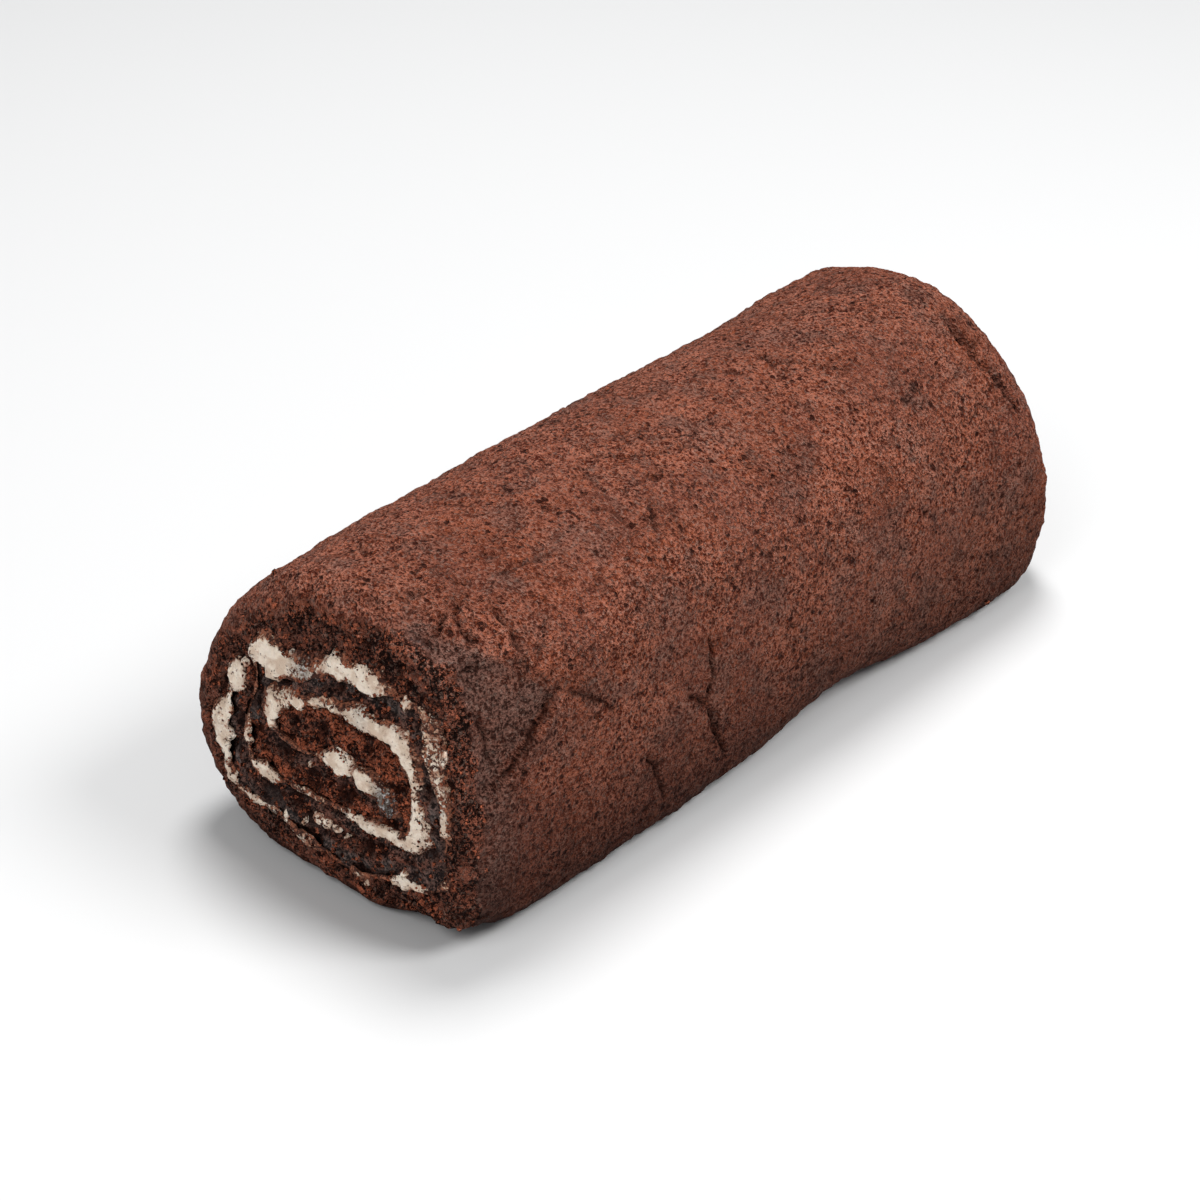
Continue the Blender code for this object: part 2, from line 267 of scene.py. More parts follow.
cream_line = cream_middle()
cream_half, cream_cover, cream_clear = spread_along(cream_line)
cream_half *= CREAM_THICKER * MM / 2
along = np.gradient(cream_line, axis=0)
along /= lengths(along)[:, None]
outward = np.stack([-along[:, 1], along[:, 0]], axis=1)


def on_front(angle, out):
    """Where a direction and a share of the way out lie on the front plane."""
    radius = reach(angle, np.full(np.shape(angle), -LENGTH / 2)) * out
    return np.stack([radius * np.cos(angle), HEIGHT[0] / 2 + radius * np.sin(angle)], axis=-1)


def from_front(flat):
    """The direction and the share of the way out of points on the front plane."""
    x, z = flat[:, 0], flat[:, 1] - HEIGHT[0] / 2
    angle = np.arctan2(z, x)
    return angle, np.hypot(x, z) / reach(angle, np.full(len(flat), -LENGTH / 2))


MOST_OUT = 0.955  # how far out the cream may come, so that the rim round it stays whole
LEAST_HALF = 0.14 * MM  # half the cream's width where it is thinnest


def slot_edges(roughness, seed):
    """The slot's torn edges on the front plane: out along one side of the cream and back along the other."""
    sides = []
    for side in (1, -1):
        flat = np.column_stack([cream_line, np.full(len(cream_line), side * 0.05)])
        torn = ripple(flat, 5.5, seed) * 0.9 + ripple(flat, 2.6, seed + 1) * 1.5
        torn += ripple(flat, 1.3, seed + 2) * 0.75
        narrow = np.minimum(1, cream_half / MM * 0.8)
        half = np.maximum(LEAST_HALF, cream_half + torn * roughness * MM * narrow)
        sides.append(cream_line + outward * half[:, None] * side)
    angle, out = from_front(np.concatenate([sides[0], sides[1][::-1]]))
    return on_front(angle, np.minimum(out, MOST_OUT))


def inside(points, loop):
    """Whether each point lies inside a closed loop on the front plane."""
    within = np.zeros(len(points), dtype=bool)
    for (x0, z0), (x1, z1) in zip(loop, np.roll(loop, -1, axis=0)):
        if z0 != z1:
            level = (z0 > points[:, 1]) != (z1 > points[:, 1])
            within ^= level & (points[:, 0] < (x1 - x0) * (points[:, 1] - z0) / (z1 - z0) + x0)
    return within


def cut_end(step, roughness, seed):
    """One cut end as a net on the front plane: its points, and the sponge's and the cream's triangles.

    The points start with the rim's, one for each column, and the slot's.
    """
    rim, slot = on_front(columns, 1.0), slot_edges(roughness, seed)
    edge = np.concatenate([rim, slot])
    near_edge = kdtree.KDTree(len(edge))
    for i, p in enumerate(edge):
        near_edge.insert((p[0], p[1], 0), i)
    near_edge.balance()
    dice = np.random.default_rng(seed)
    low, high = rim.min(axis=0), rim.max(axis=0)
    filling = []
    for row, z in enumerate(np.arange(low[1], high[1], step * 0.87)):
        across = np.arange(low[0] + (row % 2) * step / 2, high[0], step)
        line = np.stack([across, np.full(len(across), z)], axis=1)
        filling.append(line + dice.uniform(-0.22, 0.22, line.shape) * step)
    filling = np.concatenate(filling)
    filling = filling[inside(filling, rim)]
    clear = [near_edge.find((p[0], p[1], 0))[2] > 0.55 * step for p in filling]
    points = np.concatenate([edge, filling[clear]])
    loops = []
    for start, count in ((0, len(rim)), (len(rim), len(slot))):
        loops += [(start + i, start + (i + 1) % count) for i in range(count)]
    net = geometry.delaunay_2d_cdt([Vector(p) for p in points], loops, [], 0, 1e-9)
    origin = [ids[0] if ids else -1 for ids in net[3]]
    triangles = np.array([[origin[v] for v in triangle] for triangle in net[2]])
    triangles = triangles[(triangles >= 0).all(axis=1)]
    middles = points[triangles].mean(axis=1)
    kept = inside(middles, rim)
    creamy = inside(middles, slot)
    return points, triangles[kept & ~creamy], triangles[kept & creamy]


FRONT_SEED, BACK_SEED = 3, 11
front_net = cut_end(CRUMB_STEP, 0.8, FRONT_SEED)
back_net = cut_end(CRUMB_STEP * 1.5, 0.4, BACK_SEED)
SLOT_COUNT = 2 * len(cream_line)
# How far behind each end the rings of the slot's walls lie, where torn edges turn smooth.
RING_DEPTHS = (2.6 * MM, 6.5 * MM)

# The mesh's points: the skin row by row, then each end's slot and filling, then the slot's wall rings.
row_grid, column_grid = np.meshgrid(rows, columns, indexing="ij")
skin = placed(column_grid, 1.0, row_grid)
low, high = (np.array(corner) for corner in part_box("sponge_sheet"))
SHIFT = (low + high - skin.reshape(-1, 3).min(axis=0) - skin.reshape(-1, 3).max(axis=0)) / 2
SHIFT[2] = low[2] - skin[..., 2].min()

# Where handling has pushed the roll out of its plain form, in millimetres: the place's two ends, how wide it
# is and how far it moves. They are the front's upper left and lower right corners, and the back's right and
# upper left edges.
PUSHED = (
    ((-30, -98, 63), (-40, -113, 45), 9, (1.6, 1.0, -0.9)),
    ((28, -116, 1), (40, -111, 1), 8, (-1.0, 3.2, 2.2)),
    ((41, 100, 32), (40, 102, 20), 6, (1.9, 1.2, 0)),
    ((-30, 72, 67), (-28, 92, 69), 9, (-1.0, 0.2, 1.3)),
)


def settled(points):
    """Points of the plain form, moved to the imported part's place and pushed out of true."""
    points = points + SHIFT
    moved = points.copy()
    for start, end, width, way in PUSHED:
        start, run = np.array(start) * MM, (np.array(end) - np.array(start)) * MM
        t = np.clip((points - start) @ run / (run @ run), 0, 1)
        apart = lengths(points - start - t[..., None] * run)
        moved += np.exp(-((apart / (width * MM)) ** 2))[..., None] * np.array(way) * MM
    return moved


skin = settled(skin)
WALL_COVER = 4.5 * MM  # how deep the cream lies behind the dent
WALL_PRESS = 0.85  # the share of the way there that the dent presses it


def end_points(net, y):
    """An end's points past its rim, in place."""
    angle, out = from_front(net[0][len(columns):])
    return settled(placed(angle, out, np.full(len(angle), y)))


def slot_ring(edges, y):
    """A ring of the slot's walls at one place along the roll, pressed in where it lies behind the dent."""
    angle, out = from_front(edges)
    ring = placed(angle, out, np.full(len(edges), y))
    proud = np.maximum(0, (ring - DENT_POINT) @ DENT_NORMAL + WALL_COVER)
    return settled(ring - proud[:, None] * WALL_PRESS * DENT_NORMAL)


smooth_edges = slot_edges(0.15, FRONT_SEED)
front, back = end_points(front_net, -LENGTH / 2), end_points(back_net, LENGTH / 2)
half_torn = [net[0][len(columns):][:SLOT_COUNT] * 0.5 + smooth_edges * 0.5 for net in (front_net, back_net)]
walls = [
    slot_ring(half_torn[0], RING_DEPTHS[0] - LENGTH / 2),
    slot_ring(smooth_edges, RING_DEPTHS[1] - LENGTH / 2),
    slot_ring(smooth_edges, LENGTH / 2 - RING_DEPTHS[1]),
    slot_ring(half_torn[1], LENGTH / 2 - RING_DEPTHS[0]),
]

# Which way is out of the skin, from its neighbours round the loaf and along it.
round_step = np.roll(skin, -1, axis=1) - np.roll(skin, 1, axis=1)
skin_normal = np.cross(round_step, np.gradient(skin, axis=0))
skin_normal /= lengths(skin_normal)[..., None]
if skin_normal[len(rows) // 2, len(columns) // 2, 0] < 0:
    skin_normal = -skin_normal

# Where the skin cracked as the sheet was bent, in millimetres. Each row is the crack's points, its half
# width, its depth, and how far its lower or right-hand lip stands up. A point is y and z on the right side,
# or x and y on top.
SIDE_CRACKS = (
    (((-88, 58), (-95, 51), (-103, 45), (-108, 42)), 0.8, 1.7, 0.8),
    (((-87, 57), (-80, 53), (-70, 45)), 0.6, 0.8, 0.25),
    (((-88, 58), (-94, 64), (-99, 68)), 0.7, 0.5, 0.2),
    (((-108, 60), (-107, 54), (-107, 47)), 0.8, 0.8, 0.2),
    (((-38, 49), (-38, 43), (-38, 37), (-39, 31)), 0.6, 2.0, 0.35),
    (((-39, 31), (-35, 22), (-31, 13)), 0.6, 2.1, 0.4),
    (((-60, 28), (-56, 21), (-52, 12)), 0.5, 1.4, 0.25),
    (((-47, 37), (-42, 34), (-39, 31)), 0.5, 1.2, 0.2),
)
TOP_CRACKS = (
    (((35, -105), (30, -103), (24, -102)), 0.7, 1.3, 0.4),
    (((34, -108), (35, -105)), 0.6, 1.2, 0.3),
    (((22, -100), (25, -106), (26, -111)), 0.7, 2.4, 0.6),
    (((21, -97), (25, -101)), 0.6, 1.8, 0.4),
    (((22, -111), (27, -110)), 0.6, 1.0, 0.25),
    (((12, -104), (14, -102), (16, -100)), 0.6, 1.6, 0.35),
    (((7, -109), (10, -108)), 0.7, 1.3, 0.2),
    (((-9, -96), (-4, -98)), 0.5, 0.9, 0.15),
    (((16, -93), (20, -90)), 0.8, 1.9, 0.3),
    (((28, -93), (33, -93), (38, -94)), 0.7, 1.4, 0.4),
    (((13, -81), (15, -80)), 0.7, 1.2, 0.1),
    (((21, -86), (22, -76), (23, -66)), 0.7, 0.4, 0.2),
    (((17, -51), (22, -48), (27, -48)), 0.6, 0.5, 0.2),
    (((23, -35), (26, -39), (30, -43)), 0.5, 0.8, 0.15),
    (((5, -33), (9, -29), (12, -24), (14, -18)), 0.5, 1.5, 0.3),
    (((17, -31), (20, -29)), 0.9, 2.0, 0.3),
    (((14, -17), (16, -13)), 0.6, 1.0, 0.15),
    (((-1, 19), (3, 22)), 0.5, 0.9, 0.1),
    (((-3, 33), (4, 31), (10, 39), (14, 41), (18, 46)), 0.6, 1.5, 0.4),
    (((-12, 55), (-6, 60), (-1, 66), (4, 70)), 0.5, 0.9, 0.2),
    (((15, 88), (20, 87), (24, 86), (31, 86), (36, 88), (40, 91)), 1.1, 2.4, 0.9),
)


DRAWN_FROM = 0.42 * MM  # how close to a crack the skin's points are drawn onto it


def on_skin(place, first, second):
    """The point of the skin at two of its coordinates: the rightmost one there, or the uppermost."""
    points = skin.reshape(-1, 3)
    apart = np.hypot(points[:, first] - place[0] * MM, points[:, second] - place[1] * MM)
    height = points[:, 0] if first == 1 else points[:, 2]
    return points[np.where(height > height.max() * 0.3, apart, 1.0).argmin()]


def crack_field(points):
    """How far the cracks move each point of the skin in or out, how deep it lies in one, and its way there.

    The points nearest to a crack are drawn onto it, so that it stays sharp.
    """
    offset, groove_shade, drawn = np.zeros(len(points)), np.zeros(len(points)), np.zeros((len(points), 3))
    wander = np.stack([ripple(points, 3.2, seed) for seed in (41, 42, 43)], axis=1) * 0.7 * MM
    cracks = [(1, 2, *crack) for crack in SIDE_CRACKS] + [(0, 1, *crack) for crack in TOP_CRACKS]
    for first, second, places, half_width, depth, lip in cracks:
        corners = np.array([on_skin(place, first, second) for place in places])
        nearest = np.full(len(points), 1.0)
        beside, reached, way = np.zeros(len(points)), np.zeros(len(points)), np.zeros((len(points), 3))
        length = lengths(np.diff(corners, axis=0))
        for i, (start, end) in enumerate(zip(corners, corners[1:])):
            run = end - start
            t = np.clip((points + wander - start) @ run / (run @ run), 0, 1)
            away = points + wander - start - t[:, None] * run
            distance = lengths(away)
            closer = distance < nearest
            nearest = np.where(closer, distance, nearest)
            beside = np.where(closer, -away[:, 2] + away[:, 0] * 0.3, beside)
            way = np.where(closer[:, None], away, way)
            reached = np.where(closer, (length[:i].sum() + t * length[i]) / length.sum(), reached)
        taper = np.minimum(1, 5 * np.minimum(reached + 0.04, 1.04 - reached))
        on_line = nearest < DRAWN_FROM
        drawn = np.where(on_line[:, None], -way, drawn)
        nearest = np.where(on_line, 0, nearest)
        groove = np.exp(-((nearest / (half_width * MM)) ** 2)) * taper
        past_ridge = (nearest - 1.9 * half_width * MM) / (1.3 * half_width * MM)
        ridge = np.exp(-(past_ridge**2)) * taper * (beside > 0)
        offset += (lip * ridge - depth * groove) * MM
        # Painted shade: the deeper a point lies in a crack's groove, the darker it is drawn.
        groove_shade = np.maximum(groove_shade, groove * min(1, 0.5 + depth * 0.5))
    return offset, groove_shade, drawn


# Hollows torn out of the front end: where on it, how wide and how deep.
HOLLOWS = (
    (-12, 48.5, 2.6, 2.6), (-16, 46.5, 2.2, 2.4), (-19.5, 43.5, 1.8, 2.4), (-20, 40, 1.8, 2.2),
    (-30.5, 40.5, 2.6, 2.2), (-11, 33, 3.2, 2.6), (-7.5, 41, 1.8, 1.8), (-25.5, 33.5, 2.4, 2.4),
    (-20, 33, 2.2, 1.8), (-7, 21, 3, 2.2), (-4, 17, 2.4, 2.4), (-2.5, 12.5, 2.4, 2.2),
    (-15, 19, 3.6, 1.6), (-26.5, 25.5, 1.8, 1.8), (22, 37, 2.2, 1.6), (21, 28.5, 2.2, 1.6),
    (-2, 29, 3.4, 1.6), (8, 29.5, 3, 1.4), (28.5, 56, 1.5, 1.8), (29.5, 51, 1.5, 1.8),
    (30.5, 46, 1.5, 1.6), (32, 41, 1.8, 1.6), (5, 55.5, 1.8, 1.6), (11, 56, 1.8, 1.4),
    (14, 43.5, 1.8, 1.4), (1, 43, 2, 1.4), (15, 19.5, 2.4, 1.6), (33, 27, 2, 1.5),
)


def crumb_field(points, seed):
    """The open crumb of a cut: how far each point stands out, and how deep it lies in a hole."""
    near, gap, luck = bubbles(points, 3.4, seed)
    small, _, small_luck = bubbles(points, 1.7, seed + 1)
    hole = (1 - ease(0.18, 0.5, near)) * (luck < 0.35)
    pore = (1 - ease(0.18, 0.5, small)) * (small_luck < 0.3)
    crevice = (1 - ease(0.0, 0.2, gap)) * (luck > 0.45)
    broad = ripple(points, 7, seed) * 0.7 + ripple(points, 3.1, seed + 2) * 0.75
    lumps = broad + ripple(points, 1.5, seed + 3) * 0.6
    out = lumps - 1.5 * hole - 0.8 * pore - 0.6 * crevice - 0.2
    # The second value is painted shade: the crumb is drawn darker in its holes, pores and crevices and
    # lighter on its broad lumps.
    return out * MM, np.clip(0.12 + 0.85 * hole + 0.55 * pore + 0.45 * crevice - broad * 0.5, 0, 1)


flat_skin, flat_normal = skin.reshape(-1, 3), skin_normal.reshape(-1, 3)
from_ends = np.minimum(row_grid.ravel() + LENGTH / 2, LENGTH / 2 - row_grid.ravel())
x_mm, y_mm, z_mm = (flat_skin / MM).T

# The dented facet by the front end lies between its lower crease and upper ridge, which meet at its back.
crease_z = 58 + 0.8 * (y_mm + 88)
ridge_z = 58 - 0.9 * (y_mm + 88)
facet = ease(-0.3, 0.7, z_mm - crease_z) * ease(-0.5, 3.0, ridge_z - z_mm)
facet = facet * (x_mm > 20) * ease(-86.5, -90, y_mm)
facet_offset = -facet * (0.4 + 1.7 * np.exp(-np.maximum(0, z_mm - crease_z) / 4.5)) * ease(-86, -94, y_mm)

# The baked skin ends in a ragged line round each cut: close to it above, and well back from it on the right.
right = ease(0.25, 0.8, np.cos(column_grid.ravel())) * (row_grid.ravel() < 0)
rim_width = (0.2 + 3.6 * right) * MM
ragged = ripple(flat_skin, 7, 21) * 1.6 * MM + ripple(flat_skin, 2.4, 22) * 1.6 * MM
skin_crumb = 1 - ease(0, 1.3 * MM, from_ends + ragged - rim_width)
patchy = ripple(flat_skin, 8, 29) + 0.6 * ripple(flat_skin, 3.5, 30)
stain_and_low_shade = np.maximum(facet * 0.95, right * (1 - ease(-109, -97, y_mm)) * 0.8)
stain_and_low_shade = np.maximum(stain_and_low_shade, (1 - ease(-112, -92, y_mm + 9 * patchy)) * 0.18)
# Painted shade: the skin is greyed and darkened towards its base.
stain_and_low_shade = np.maximum(stain_and_low_shade, (1 - ease(4, 30, z_mm + 8 * patchy)) * 0.3)
stain_and_low_shade = np.clip(stain_and_low_shade * (1 + 0.55 * patchy), 0, 1)
# Dark specks where the skin stuck to its paper: where each is, its size, how grey and how dark it is.
STUCK = ((30, 52, 69, 1.6, 1, 0.7), (28, 58, 70, 1.3, 1, 0.7), (36, 1, 66, 4.5, 0.6, 0))
stuck_dark = np.zeros(len(flat_skin))
for x, y, z, size, grey, dark in STUCK:
    apart = lengths(flat_skin / MM - np.array([x, y, z]))
    stain_and_low_shade = np.maximum(stain_and_low_shade, grey * np.exp(-((apart / size) ** 2)))
    stuck_dark = np.maximum(stuck_dark, dark * np.exp(-((apart / size) ** 2)))
stain_and_low_shade *= 1 - skin_crumb

smooth_place = 1 - 0.6 * facet
swell = ripple(flat_skin, 45, 23) * 0.8 + ripple(flat_skin, 17, 24) * 0.4
swell += ripple(flat_skin, 6, 25) * 0.34
swell -= 1.3 * np.exp(-(((x_mm - 4) / 13) ** 2) - ((y_mm - 43) / 8) ** 2) * (z_mm > 60)
rough = ripple(flat_skin, 2.6, 26) * 0.42 + ripple(flat_skin, 1.5, 28) * 0.3
pit_near, _, pit_luck = bubbles(flat_skin, 2.8, 27)
upper = 0.35 + 0.65 * ease(15, 60, z_mm)
torn = ease(-0.1, 0.5, ripple(flat_skin, 21, 37))
pits = (1 - ease(0.1, 0.4, pit_near)) * (pit_luck < (0.12 + 0.3 * torn) * upper)
pits = pits * (0.7 + pit_luck) * 0.7 * smooth_place
crack_offset, crack_shade, drawn = crack_field(flat_skin)
drawn -= np.einsum("ij,ij->i", drawn, flat_normal)[:, None] * flat_normal
crumb_offset, crumb_shade = crumb_field(flat_skin, 31)
crumb_offset = np.maximum(crumb_offset, -1.3 * MM)
resting = ease(0.2 * MM, 3.0 * MM, flat_skin[:, 2])
skin_offset = (swell + rough * smooth_place - pits * 1.4 + facet_offset) * MM * resting + crack_offset
skin_offset = skin_offset * (1 - skin_crumb) + crumb_offset * skin_crumb * resting
flat_skin = flat_skin + drawn + flat_normal * skin_offset[:, None]
# Painted shade: the skin is drawn darker in the low spots of its roughness, as it is in its cracks and pits.
painted_hollow_shade = np.clip(-rough - 0.08, 0, 0.25) * smooth_place
# Painted shade: the skin is drawn darker towards the bottom of its sides, most at the front, and more so in
# the crumb at the right-hand cut.
painted_low_shade = (0.85 - 0.25 * ease(-80, 60, y_mm)) * (1 - ease(0, 44, z_mm))
# The skin's painted shade, in its cracks, pits and hollows, low on its sides and in the crumb's holes at its
# cut edges, together with the dark specks stuck to paper, which are its own colour.
skin_shade_and_specks = np.maximum(np.maximum(crack_shade, pits), stuck_dark) + painted_hollow_shade + painted_low_shade
skin_shade_and_specks = np.clip(skin_shade_and_specks, 0, 1) * (1 - skin_crumb)
skin_shade_and_specks += (0.3 * crumb_shade + 0.45 * painted_low_shade * right) * skin_crumb


def beside_cream(flat):
    """How far points of an end are from the cream, which are on its inner side, and its nearest place."""
    apart = lengths(flat[:, None] - cream_line[None])
    nearest = apart.argmin(axis=1)
    away = flat - cream_line[nearest]
    side = np.einsum("ij,ij->i", away, outward[nearest])
    return apart.min(axis=1) - cream_half[nearest], side < 0, nearest


OUTER_TURN = int(lengths(cream_line - np.array([-23.0, 34.0]) * MM).argmin())


def dressed_end(points, net, outwards, seed):
    """An end's crumb, with the moist dark skin of the turn inside showing along the cream's inner side."""
    flat = net[0][len(columns):]
    offset, depth = crumb_field(points, seed)
    distance, inner, nearest = beside_cream(flat)
    outer_turn = nearest > OUTER_TURN
    if outwards < 0:
        # Painted shade: each hollow is drawn dark as well as sunk.
        for x, z, width, deep in HOLLOWS:
            apart = np.hypot(*(flat - np.array([x, z]) * MM).T) / (width * MM)
            offset = offset - np.exp(-((apart / 0.85) ** 2)) * deep * MM
            depth = np.maximum(depth, np.minimum(1, 1.7 * np.exp(-(apart**2))))
    moist = (1 - ease(3.0 * MM, 5.5 * MM, distance)) * np.where(outer_turn & inner, 1.0, 0.0)
    moist = np.maximum(moist, 0.55 * (1 - ease(1.0 * MM, 3.5 * MM, distance)) * (~outer_turn & ~inner))
    moist *= 0.35 + 0.65 * ease(-0.35, 0.3, ripple(points, 5, seed + 5))
    red = ease(0.2, 1.0, (~outer_turn & inner) * 0.75 + ripple(points, 7, seed + 6) * 0.9 + 0.15)
    split = (1 - ease(0.3 * MM, 1.6 * MM, distance)) * ease(-0.25, 0.25, ripple(points, 6, seed + 7))
    offset = offset * (1 - 0.3 * moist) - (0.3 * moist + 1.2 * split) * MM
    offset = np.maximum(offset, -3.4 * MM + 1.3 * MM * (distance < 0.6 * MM))
    # Painted shade: the crevice split open beside the cream is drawn dark.
    depth = np.maximum(depth, 0.9 * split)
    moved = points + np.array([0, outwards, 0]) * offset[:, None]
    return moved, moist, depth * (1 - 0.15 * moist), red * (1 - moist)


front_at, front_moist, front_shade, front_red = dressed_end(front, front_net, -1, 51)
back_at, back_moist, back_shade, back_red = dressed_end(back, back_net, 1, 61)

cake_points = np.concatenate([flat_skin, front_at, back_at, *walls])
cake_points[:, 2] = np.maximum(cake_points[:, 2], 0)
wall_count = SLOT_COUNT * len(walls)
skin_red = 0.75 * ease(0.1, 0.9, ripple(flat_skin, 8, 36) + 0.6) * (1 - 0.75 * right)


def side_by_side(*layers):
    """The looks of a piece's points: four values for each, every layer in the order of the points."""
    return np.stack([np.concatenate(layer) for layer in layers], axis=1)


# The looks of each point: how far it is crumb, its stain or moisture, its painted shade, which on the skin
# also holds the specks stuck to paper and on the slot's walls is full, and its redness.
looks = side_by_side(
    (skin_crumb, np.ones(len(front_at) + len(back_at) + wall_count)),
    (stain_and_low_shade, front_moist, back_moist, np.zeros(wall_count)),
    (skin_shade_and_specks, front_shade, back_shade, np.ones(wall_count)),
    (skin_red, front_red, back_red, np.zeros(wall_count)),
)


def tube(rings):
    """Four-cornered faces between each closed ring of points and the next."""
    near, far = np.array(rings[:-1]), np.array(rings[1:])
    faces = np.stack([near, np.roll(near, -1, axis=1), np.roll(far, -1, axis=1), far], axis=-1)
    return faces.reshape(-1, 4).tolist()


def slot_rings(front_start, wall_start, back_start):
    """The rings round the slot from front to back, from the number of each part's first point."""
    starts = [front_start, *(wall_start + i * SLOT_COUNT for i in range(len(walls))), back_start]
    return [np.arange(start, start + SLOT_COUNT) for start in starts]


def mesh_piece(name, points, faces, looks, material):
    """A smooth closed piece with its looks kept on its points."""
    data = bpy.data.meshes.new(name)
    data.from_pydata(points.tolist(), [], faces)
    data.update()
    kept = data.attributes.new("looks", "FLOAT_COLOR", "POINT")
    kept.data.foreach_set("color", looks.astype(np.float32).ravel())
    piece = bpy.data.objects.new(name, data)
    bpy.context.collection.objects.link(piece)
    data.materials.append(material)
    bpy.ops.object.select_all(action="DESELECT")
    piece.select_set(True)
    bpy.context.view_layer.objects.active = piece
    bpy.ops.object.mode_set(mode="EDIT")
    bpy.ops.mesh.select_all(action="SELECT")
    bpy.ops.mesh.normals_make_consistent(inside=False)
    bpy.ops.object.mode_set(mode="OBJECT")
    bpy.ops.object.shade_smooth()
    return piece


count = len(columns)
rings = np.arange(len(rows) * count).reshape(len(rows), count)
front_start = len(flat_skin)
back_start = front_start + len(front_at)
wall_start = back_start + len(back_at)
front_index = np.concatenate([rings[0], np.arange(front_start, back_start)])
back_index = np.concatenate([rings[-1], np.arange(back_start, wall_start)])
sponge_faces = tube(rings) + tube(slot_rings(front_start, wall_start, back_start))
sponge_faces += front_index[front_net[1]].tolist() + back_index[back_net[1]].tolist()


def put(tree, value, socket):
    """Gives a socket a value, or links it to another node's output."""
    if isinstance(value, bpy.types.NodeSocket):
        tree.links.new(value, socket)
    else:
        socket.default_value = value


def fill(tree, node, **inputs):
    """Fills a node's inputs. An input's name has _ for a space."""
    for name, value in inputs.items():
        put(tree, value, node.inputs[name.replace("_", " ")])


def add(tree, kind, settings=None, **inputs):
    """Adds a shader node with its settings and inputs."""
    made = tree.nodes.new("ShaderNode" + kind)
    for name, value in (settings or {}).items():
        setattr(made, name, value)
    fill(tree, made, **inputs)
    return made


def split(tree, colour):
    """A colour's outputs, each of which holds a mask or a noise of its own."""
    return add(tree, "SeparateColor", Color=colour).outputs


def clouds(tree, place, scale, detail, roughness=0.5, output="Fac"):
    """Noise: one value at each place, or a colour of three."""
    made = add(tree, "TexNoise", Vector=place, Scale=scale, Detail=detail, Roughness=roughness)
    return made.outputs[output]


def shaken(tree, place, scale, detail, far):
    """A place moved about by noise, so that what is drawn there comes out ragged."""
    made = add(tree, "VectorMath", {"operation": "MULTIPLY_ADD"})
    moves = clouds(tree, place, scale, detail, output="Color")
    for value, socket in zip((moves, (far, far, far), place), made.inputs):
        put(tree, value, socket)
    return made.outputs[0]


def sums(tree, operation, first, second):
    made = add(tree, "Math", {"operation": operation})
    put(tree, first, made.inputs[0])
    put(tree, second, made.inputs[1])
    return made.outputs[0]


def times(tree, first, second):
    return sums(tree, "MULTIPLY", first, second)


def plus(tree, first, second):
    return sums(tree, "ADD", first, second)


def less(tree, first, second):
    return sums(tree, "SUBTRACT", first, second)


def between(tree, value, low, high):
    """A mask that rises from 0 to 1 as a value goes from low to high."""
    smooth = {"interpolation_type": "SMOOTHSTEP"}
    return add(tree, "MapRange", smooth, Value=value, From_Min=low, From_Max=high).outputs["Result"]


def mixed(tree, factor, first, second):
    """One colour turned into another by a factor."""
    made = add(tree, "Mix", {"data_type": "RGBA"})
    for index, value in ((0, factor), (6, first), (7, second)):
        put(tree, value, made.inputs[index])
    return made.outputs[2]


def tinted(tree, colour, mask, share, other):
    """A colour turned into another by up to a share, where a mask says."""
    return mixed(tree, times(tree, mask, share), colour, other)


def grain_group():
    """Baked cocoa grain, for all that is cake: masks of its grains, pores, pits, blotches and clumps."""
    group = bpy.data.node_groups.new("cocoa_grain", "ShaderNodeTree")
    group.interface.new_socket("Vector", in_out="INPUT", socket_type="NodeSocketVector")
    place = group.nodes.new("NodeGroupInput").outputs["Vector"]
    fine = clouds(group, place, 1250, 1, 0.8)
    coarse = clouds(group, place, 500, 2, 0.7)
    chosen = clouds(group, place, 130, 1)
    pores = between(group, clouds(group, place, 640, 2), 0.385, 0.315)
    pores = times(group, pores, between(group, chosen, 0.45, 0.60))
    cells = add(group, "TexVoronoi", Vector=shaken(group, place, 800, 1, 0.0016), Scale=420.0)
    luck = split(group, cells.outputs["Color"])
    wide = plus(group, cells.outputs["Distance"], times(group, luck["Green"], 0.16))
    pits = times(group, between(group, wide, 0.36, 0.24), between(group, luck["Red"], 0.52, 0.56))
    pits = times(group, pits, between(group, chosen, 0.38, 0.54))
    soft = clouds(group, place, 150, 3, 0.55)
    clumps, clusters = clouds(group, place, 1050, 2, 0.9), clouds(group, place, 240, 2, 0.6)
    tints = split(group, clouds(group, place, 1250, 1, output="Color"))
    height = plus(group, times(group, fine, 0.9), times(group, coarse, 1.3))
    height = less(group, height, times(group, pits, 0.9))
    masks = {
        "Grain": plus(group, times(group, fine, 0.62), times(group, coarse, 0.38)),
        "Pores": pores,
        "Pits": pits,
        "Blotches": between(group, soft, 0.54, 0.68),
        "Clumps": plus(group, times(group, clumps, 0.68), times(group, clusters, 0.32)),
        "Pale": between(group, tints["Green"], 0.55, 0.66),
        "Warm": between(group, tints["Blue"], 0.52, 0.66),
        "Height": less(group, height, times(group, pores, 1.0)),
    }
    for name in masks:
        group.interface.new_socket(name, in_out="OUTPUT", socket_type="NodeSocketFloat")
    out = group.nodes.new("NodeGroupOutput")
    for name, mask in masks.items():
        group.links.new(mask, out.inputs[name])
    return group


COCOA_GRAIN = grain_group()


def material_tree(name):
    material = bpy.data.materials.new(name)
    material.use_nodes = True
    return material, material.node_tree, material.node_tree.nodes["Principled BSDF"]


